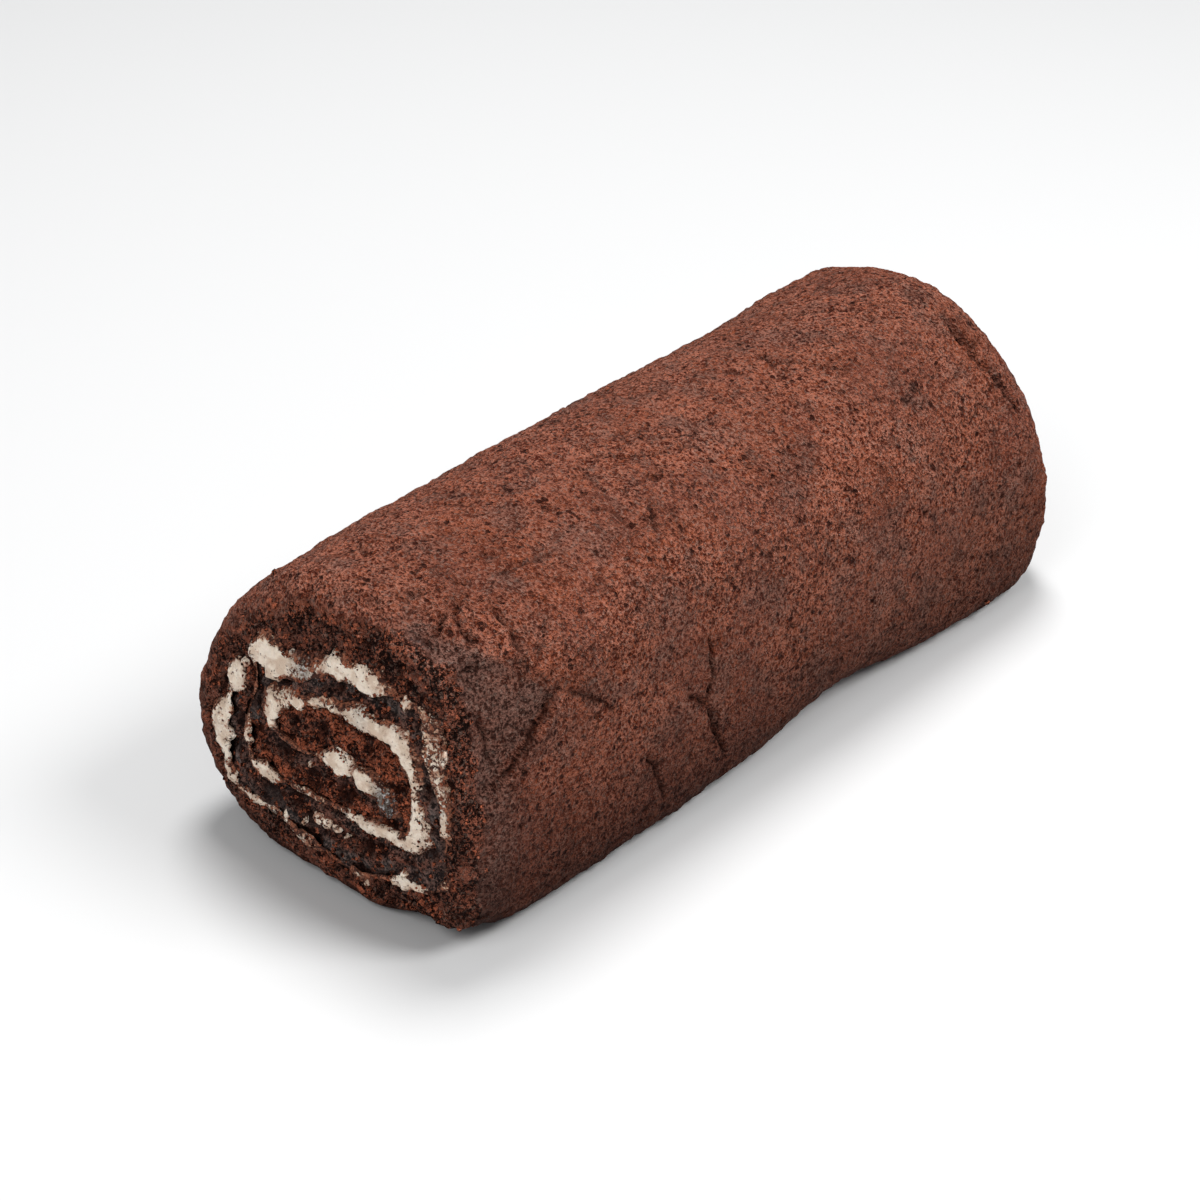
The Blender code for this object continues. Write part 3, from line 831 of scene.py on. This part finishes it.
def cake_tree(name):
    """A material with what each part of the cake needs: its place, the grain, the looks and their masks."""
    material, tree, shader = material_tree(name)
    place = add(tree, "TexCoord").outputs["Object"]
    grain = add(tree, "Group", {"node_tree": COCOA_GRAIN}, Vector=place)
    looks = add(tree, "Attribute", {"attribute_name": "looks"})
    masks = split(tree, looks.outputs["Color"])
    return material, tree, shader, place, grain.outputs, looks.outputs, masks


def sponge_finish():
    """Baked skin outside, open crumb at the cuts, and moist skin where the cream has soaked in."""
    material, tree, shader, place, grain, looks, masks = cake_tree("chocolate_sponge")
    crumb, moist, depth = masks["Red"], masks["Green"], masks["Blue"]

    # The baked skin: cocoa grain with redder, calmer, warmer, darker and blotched patches, and dust on it.
    # The grain's dark and light follow the bump's valleys and peaks: partly the skin's own tone, and partly
    # painted shade in the valleys and painted light on the peaks.
    light = between(tree, grain["Grain"], 0.39, 0.60)
    patches = split(tree, clouds(tree, place, 38, 2, output="Color"))
    dusty = between(tree, clouds(tree, place, 75, 4, 0.7), 0.50, 0.62)
    dust = mixed(tree, light, (0.036, 0.0115, 0.0078, 1), (0.225, 0.114, 0.086, 1))
    skin = mixed(tree, light, (0.058, 0.0078, 0.0024, 1), (0.330, 0.117, 0.073, 1))
    for mask, share, other in (
        (between(tree, patches["Green"], 0.46, 0.64), 0.30, (0.175, 0.045, 0.022, 1)),
        (between(tree, patches["Blue"], 0.48, 0.66), 0.35, (0.122, 0.043, 0.031, 1)),
        (grain["Warm"], 0.50, (0.275, 0.068, 0.027, 1)),
        (between(tree, patches["Red"], 0.5, 0.72), 0.35, (0.096, 0.023, 0.0125, 1)),
        (grain["Blotches"], 0.42, (0.062, 0.0175, 0.0105, 1)),
        (dusty, 0.42, dust),
    ):
        skin = tinted(tree, skin, mask, share, other)

    # Over it lie the grey stains, which low on the sides are painted shade, pale grains, and fine crackle,
    # pores and pits, which are darkened as painted shade.
    stained = mixed(tree, light, (0.034, 0.0110, 0.0070, 1), (0.178, 0.084, 0.063, 1))
    skin = mixed(tree, moist, skin, stained)
    edges = {"feature": "DISTANCE_TO_EDGE"}
    cells = add(tree, "TexVoronoi", edges, Vector=shaken(tree, place, 210, 2, 0.0032), Scale=210.0)
    worn = between(tree, clouds(tree, place, 95, 1), 0.47, 0.6)
    crackle = times(tree, between(tree, cells.outputs["Distance"], 0.13, 0.0), worn)
    crackle = times(tree, crackle, less(tree, 1.0, crumb))
    for mask, share, other in (
        (grain["Pale"], 0.34, (0.27, 0.175, 0.140, 1)),
        (crackle, 0.25, (0.030, 0.0080, 0.0045, 1)),
        (grain["Pores"], 0.60, (0.040, 0.0062, 0.0022, 1)),
        (grain["Pits"], 0.88, (0.024, 0.0038, 0.0016, 1)),
    ):
        skin = tinted(tree, skin, mask, share, other)

    # The open crumb of the cuts, dark or reddish, and greyer where the cream has soaked in.
    # The crumb's flecks follow its bump: partly its own reddish and dark bits, and partly painted light on
    # the lumps and painted shade between them.
    flecks = between(tree, grain["Clumps"], 0.45, 0.58)
    dark = mixed(tree, flecks, (0.0085, 0.0028, 0.0018, 1), (0.245, 0.086, 0.055, 1))
    reddish = mixed(tree, flecks, (0.022, 0.0042, 0.0018, 1), (0.620, 0.166, 0.080, 1))
    wet = mixed(tree, flecks, (0.0095, 0.0052, 0.0043, 1), (0.205, 0.143, 0.125, 1))
    inner = mixed(tree, moist, mixed(tree, looks["Alpha"], dark, reddish), wet)
    inner = tinted(tree, inner, grain["Pale"], 0.40, (0.30, 0.185, 0.145, 1))
    # The looks' third value is painted shade: it draws the cake near black in cracks, pits, hollows, holes
    # and crevices, low on the sides and on the slot's walls.
    colour = tinted(tree, mixed(tree, crumb, skin, inner), depth, 0.92, (0.0160, 0.0034, 0.0017, 1))
    damp = times(tree, moist, crumb)
    rough = add(tree, "MapRange", Value=damp, To_Min=0.92, To_Max=0.60).outputs["Result"]
    height = plus(tree, grain["Height"], times(tree, times(tree, grain["Clumps"], crumb), 1.3))
    height = less(tree, height, times(tree, crackle, 0.35))
    bump = add(tree, "Bump", Height=height, Distance=0.0018, Strength=1.0)
    fill(tree, shader, Base_Color=colour, Roughness=rough, Normal=bump.outputs["Normal"])
    fill(tree, shader, Coat_Weight=times(tree, damp, 0.20), Coat_Roughness=0.28, Specular_IOR_Level=0.08)
    return material


sponge_material = sponge_finish()
sponge = mesh_piece("sponge_roll", cake_points, sponge_faces, looks, sponge_material)
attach(sponge, "root")
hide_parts("sponge_sheet")

# ----------------------------------------------------------------------
# The cream: whipped vanilla cream spread on the sheet before it was rolled, so it fills the slot between
# the turns along the whole roll. At the ends the knife drags it: thick here, thin and full of crumb there.
# ----------------------------------------------------------------------


def cream_end(points, net, outwards, seed):
    """The cream's points on an end, rounded at the edges and lumpy, with how full of crumb each is."""
    flat = net[0][len(columns):]
    distance, _, nearest = beside_cream(flat)
    cover = cream_cover[nearest]
    inward = np.clip(-distance / (1.2 * MM), 0, 1)
    rounded = np.sqrt(np.clip(1 - (1 - inward) ** 2, 0, 1))
    lumps = ripple(points, 4.5, seed) * 0.7 + ripple(points, 2.0, seed + 1) * 0.55
    lumps += ripple(points, 1.0, seed + 2) * 0.45
    thick = np.minimum(cream_half[nearest] / MM, 3)
    offset = ((0.4 + 0.2 * thick) * rounded - 0.45 + lumps * (0.4 + 0.6 * rounded) - 0.6 * cover) * MM
    offset -= 0.35 * MM * cream_clear[nearest]
    dragged = ease(-0.25, 0.3, ripple(points, 4.5, seed + 3))
    full_of_crumb = np.clip(cover * 1.1 + 0.45 * ripple(points, 3.2, seed + 4), 0, 1)
    edge = 1 - ease(0.15 * MM, 1.25 * MM, -distance)
    full_of_crumb = np.maximum(full_of_crumb, (0.3 + 0.6 * dragged) * edge)
    stained = np.clip(cover * 1.9 + 0.6 * ripple(points, 3.6, seed + 5) - 0.25, 0, 1)
    stained = np.maximum(stained, (0.35 + 0.6 * dragged) * edge)
    return points + np.array([0, outwards, 0]) * offset[:, None], full_of_crumb, stained, cream_clear[nearest]


cream_front, front_crumbed, front_stained, front_clear = cream_end(front, front_net, -1, 71)
cream_back, back_crumbed, back_stained, back_clear = cream_end(back, back_net, 1, 81)
cream_points = np.concatenate([cream_front, cream_back, *walls])
cream_looks = side_by_side(
    (front_crumbed, back_crumbed, np.ones(wall_count)),
    (front_clear, back_clear, np.zeros(wall_count)),
    (front_stained, back_stained, np.ones(wall_count)),
    (np.ones(len(cream_points)),),
)
cream_faces = tube(slot_rings(0, len(front) + len(back), len(front)))
cream_faces += (front_net[2] - count).tolist() + (back_net[2] - count + len(front)).tolist()
used = np.unique(np.concatenate([np.array(face) for face in cream_faces]))
renumber = np.full(len(cream_points), -1)
renumber[used] = np.arange(len(used))
cream_faces = [[int(renumber[v]) for v in face] for face in cream_faces]


def cream_dab(x, z, wide, high, seed):
    """A dab of cream the knife left on the front end: its centre there and its half sizes, in millimetres."""
    bpy.ops.object.select_all(action="DESELECT")
    bpy.ops.mesh.primitive_ico_sphere_add(subdivisions=4, radius=1.0)
    bpy.ops.object.mode_set(mode="EDIT")
    bpy.ops.transform.resize(value=(wide * MM, 1.3 * MM, high * MM))
    bpy.ops.object.mode_set(mode="OBJECT")
    shape = bpy.context.active_object
    points = np.array([v.co[:] for v in shape.data.vertices])
    faces = [list(face.vertices) for face in shape.data.polygons]
    bpy.data.objects.remove(shape)
    pull = 1 + 0.4 * ripple(points, 1.6, seed) + 0.25 * ripple(points, 0.8, seed + 1)
    points = points * pull[:, None]
    flat = np.array([[x, z]]) * MM
    angle, out = from_front(flat)
    middle = settled(placed(angle, out, np.array([-LENGTH / 2])))[0]
    nearby = lengths(front - middle) < 1.5 * MM
    middle[1] = front_at[nearby][:, 1].mean() + 0.1 * MM
    return points + middle, faces


# The dabs that lie apart from the spiral: centre, half sizes and the start of their shape's noise.
DABS = (
    (0.5, 19, 2.6, 1.7, 91), (5, 19, 1.3, 0.9, 92), (-5.5, 15.5, 0.5, 1.4, 93), (25.5, 17.5, 0.9, 1.1, 94),
    (-24, 48.5, 1.5, 0.9, 95), (-34, 30.5, 0.7, 0.5, 96), (13.5, 8.5, 1, 0.7, 97), (-11, 15, 0.5, 1.1, 98),
    (36, 51, 0.6, 2.2, 99), (-2, 33, 0.9, 0.5, 100), (8.5, 19, 0.7, 0.4, 101),
)
cream_points, cream_looks = [cream_points[used]], [cream_looks[used]]
for dab in DABS:
    points, faces = cream_dab(*dab)
    start = sum(len(p) for p in cream_points)
    cream_faces += [[v + start for v in face] for face in faces]
    cream_points.append(points)
    cream_looks.append(np.tile([0.35, 0.0, 0.45, 1.0], (len(points), 1)))


def cream_finish():
    """Off-white whipped cream, faintly see-through, stained and speckled where crumb is dragged into it."""
    material, tree, shader, place, grain, _, masks = cake_tree("vanilla_cream")
    crumbed, clear, stained = masks["Red"], masks["Green"], masks["Blue"]
    cloud = clouds(tree, place, 330, 3, 0.6)
    cream = mixed(tree, between(tree, cloud, 0.38, 0.62), (0.66, 0.505, 0.385, 1), (0.88, 0.76, 0.635, 1))
    tan = mixed(tree, between(tree, cloud, 0.40, 0.60), (0.26, 0.078, 0.036, 1), (0.62, 0.37, 0.235, 1))
    spread = clouds(tree, place, 540, 4, 0.65)
    smudged = plus(tree, times(tree, stained, 0.34), less(tree, spread, 0.60))
    cream = tinted(tree, cream, between(tree, smudged, 0.0, 0.16), 0.9, tan)
    smear = add(tree, "TexNoise", Vector=place, Scale=620.0, Detail=4.0, Roughness=0.75, Distortion=1.2)
    smear = between(tree, smear.outputs["Fac"], 0.47, 0.62)
    cream = mixed(tree, clear, cream, mixed(tree, smear, (0.020, 0.012, 0.010, 1), (0.46, 0.46, 0.47, 1)))
    level = less(tree, less(tree, 0.69, times(tree, crumbed, 0.38)), times(tree, clear, 0.14))
    stuck = between(tree, less(tree, clouds(tree, place, 1200, 2, 0.7), level), -0.03, 0.04)
    flecks = between(tree, grain["Clumps"], 0.45, 0.59)
    brown = mixed(tree, flecks, (0.042, 0.0120, 0.0066, 1), (0.34, 0.120, 0.064, 1))
    dull = sums(tree, "MAXIMUM", stuck, clear)
    rough = add(tree, "MapRange", Value=dull, To_Min=0.5, To_Max=0.85).outputs["Result"]
    bump = add(tree, "Bump", Height=plus(tree, spread, stuck), Distance=0.0009, Strength=0.9)
    cream = mixed(tree, stuck, cream, brown)
    fill(tree, shader, Base_Color=cream, Roughness=rough, Normal=bump.outputs["Normal"])
    fill(tree, shader, Specular_IOR_Level=0.3, Subsurface_Weight=0.12, Subsurface_Scale=1.0)
    fill(tree, shader, Subsurface_Radius=(0.0012, 0.0009, 0.0006))
    return material


cream = mesh_piece("cream_spiral", np.concatenate(cream_points), cream_faces, np.concatenate(cream_looks),
                   cream_finish())
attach(cream, "root")
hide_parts("cream_filling")

# ----------------------------------------------------------------------
# The loose crumbs: bits of sponge the knife tore off, stuck to the cream, the cut crumb and the rim of
# the roll, with a few lying on the skin. They are all one kind of piece, small and ragged.
# ----------------------------------------------------------------------


def crumb_shapes():
    """A few ragged crumbs about 1 mm across, each made from a sphere pulled out of true."""
    shapes = []
    for seed in (1, 2, 3, 4):
        bpy.ops.object.select_all(action="DESELECT")
        bpy.ops.mesh.primitive_uv_sphere_add(segments=7, ring_count=5, radius=0.42 * MM)
        bpy.ops.object.mode_set(mode="EDIT")
        bpy.ops.transform.vertex_random(offset=0.17 * MM, uniform=0.6, normal=0.4, seed=seed)
        bpy.ops.object.mode_set(mode="OBJECT")
        shape = bpy.context.active_object
        points = np.array([v.co[:] for v in shape.data.vertices])
        # A sphere's faces come in no fixed order, so they are sorted to give the same mesh each run.
        shapes.append((points, sorted(list(face.vertices) for face in shape.data.polygons)))
        bpy.data.objects.remove(shape)
    return shapes


CRUMB_SHAPES = crumb_shapes()
dice = np.random.default_rng(5)
crumb_points, crumb_faces = [], []


def drop_crumb(place, size):
    points, faces = CRUMB_SHAPES[dice.integers(len(CRUMB_SHAPES))]
    turn = Matrix.Rotation(dice.uniform(0, math.tau), 3, Vector(dice.normal(size=3)).normalized())
    start = sum(len(p) for p in crumb_points)
    stretch = dice.uniform(0.65, 1.2, 3)
    crumb_points.append(points * stretch * size @ np.array(turn).T + place)
    crumb_faces.extend([[v + start for v in face] for face in faces])


def scatter_crumbs(chosen, points, share, sizes):
    """Drops crumbs of a range of sizes on a share of the chosen points."""
    for i in np.flatnonzero(chosen):
        if dice.random() < share:
            drop_crumb(points[i], dice.uniform(*sizes))


CREAM_EDGE = 0.8 * MM  # how far the cream's smeared edge reaches each way
edge_distance, _, _ = beside_cream(front_net[0][count:])
cut_surface = np.where((edge_distance < 0)[:, None], cream_front, front_at)
scatter_crumbs(np.abs(edge_distance) < CREAM_EDGE, cut_surface, 0.12, (0.4, 1.0))
scatter_crumbs(edge_distance > CREAM_EDGE, front_at, 0.06, (0.6, 1.5))
scatter_crumbs((skin_crumb > 0.25) & (flat_skin[:, 2] > 2 * MM), flat_skin, 0.05, (0.7, 1.7))
# The few that show by themselves, in millimetres, with their sizes.
for place, size in (((-23, -107, 67), 2.0), ((43, 77.5, 6), 2.4), ((-22, 0, 73), 1.8)):
    gap = lengths(flat_skin - np.array(place) * MM)
    drop_crumb(flat_skin[gap.argmin()], size)

crumb_cloud = np.concatenate(crumb_points)
crumb_cloud[:, 2] = np.maximum(crumb_cloud[:, 2], 0)
crumb_looks = np.tile([1.0, 0.0, 0.0, 0.7], (len(crumb_cloud), 1))
crumbs = mesh_piece("loose_crumbs", crumb_cloud, crumb_faces, crumb_looks, sponge_material)
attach(crumbs, "root")

# ----------------------------------------------------------------------
# The floor, the light and the camera: a plain pale table under three soft lights, in a bright room.
# ----------------------------------------------------------------------

bpy.ops.object.select_all(action="DESELECT")
bpy.ops.mesh.primitive_plane_add(size=6.0)
floor = bpy.context.active_object
floor.name = "table_top"
floor_material, _, floor_shader = material_tree("pale_table")
floor_shader.inputs["Base Color"].default_value = (0.62, 0.62, 0.62, 1)
floor_shader.inputs["Roughness"].default_value = 0.7
floor.data.materials.append(floor_material)

world = bpy.data.worlds.new("bright_room")
world.use_nodes = True
world.node_tree.nodes["Background"].inputs["Color"].default_value = (0.96, 0.98, 1.0, 1)
world.node_tree.nodes["Background"].inputs["Strength"].default_value = 0.30
bpy.context.scene.world = world


def soft_light(name, place, aim, size, power):
    data = bpy.data.lights.new(name, "AREA")
    data.shape, data.size, data.energy = "DISK", size, power
    light = bpy.data.objects.new(name, data)
    light.location = place
    light.rotation_euler = (Vector(aim) - Vector(place)).to_track_quat("-Z", "Y").to_euler()
    bpy.context.collection.objects.link(light)


soft_light("window_light", (-0.25, 0.25, 1.25), (0, 0, 0.03), 0.5, 12.5)
soft_light("right_light", (0.72, 0.30, 0.95), (0, 0, 0.03), 0.5, 9.8)
soft_light("front_light", (0.15, -0.85, 0.85), (0, 0, 0.03), 0.6, 5.0)

camera_data = bpy.data.cameras.new("camera")
camera_data.lens, camera_data.sensor_width = 87.0, 36.0
camera = bpy.data.objects.new("camera", camera_data)
camera.matrix_world = Matrix.Translation((0.3758, -0.4727, 0.3932))
for degrees, axis in ((40, "Z"), (90 - 31.6, "X"), (2, "Z")):
    camera.matrix_world = camera.matrix_world @ Matrix.Rotation(math.radians(degrees), 4, axis)
bpy.context.collection.objects.link(camera)
bpy.context.scene.camera = camera
bpy.context.scene.view_settings.view_transform = "Standard"
